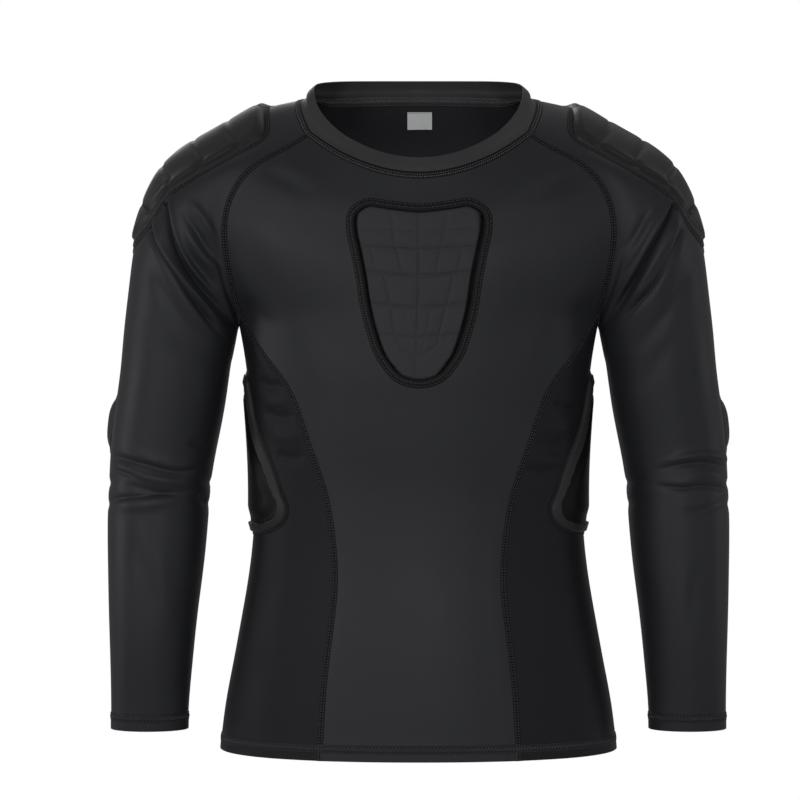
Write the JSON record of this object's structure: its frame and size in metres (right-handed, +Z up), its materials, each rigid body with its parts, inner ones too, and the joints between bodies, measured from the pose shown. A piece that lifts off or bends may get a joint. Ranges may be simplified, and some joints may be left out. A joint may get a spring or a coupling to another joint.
{
  "type": "padded compression shirt",
  "caption": "Long-sleeved compression shirt with raglan sleeves, curved side panels and sewn-on chest, shoulder, rib and elbow pads, held in its worn shape with open neck, hem and cuffs.",
  "frame": {"origin": "on the centre line inside the collar, where the garment hangs from the wearer's neck and shoulders", "axes": "+Z up the body, -Y out of the chest, +X to the wearer's left"},
  "size_m": [0.5368, 0.1833, 0.5739],
  "materials": {
    "jersey": "fine stretch knit with a soft semi-matte sheen",
    "pad_cover": "smooth stretch knit drawn over foam, slightly shinier than the shirt",
    "label": "woven satin"
  },
  "bodies": {
    "root": {"front_panel": "jersey", "back_panel": "jersey", "side_panel_left": "jersey", "side_panel_right": "jersey", "sleeve_left": "jersey", "sleeve_right": "jersey", "neckband": "jersey", "chest_pad": "pad_cover", "chest_pad_rim": "jersey", "shoulder_pad_left": "pad_cover", "shoulder_pad_right": "pad_cover", "rib_pad_left": "pad_cover", "rib_pad_right": "pad_cover", "elbow_pad_left": "pad_cover", "elbow_pad_right": "pad_cover", "size_label": "label"}
  },
  "joints": []
}
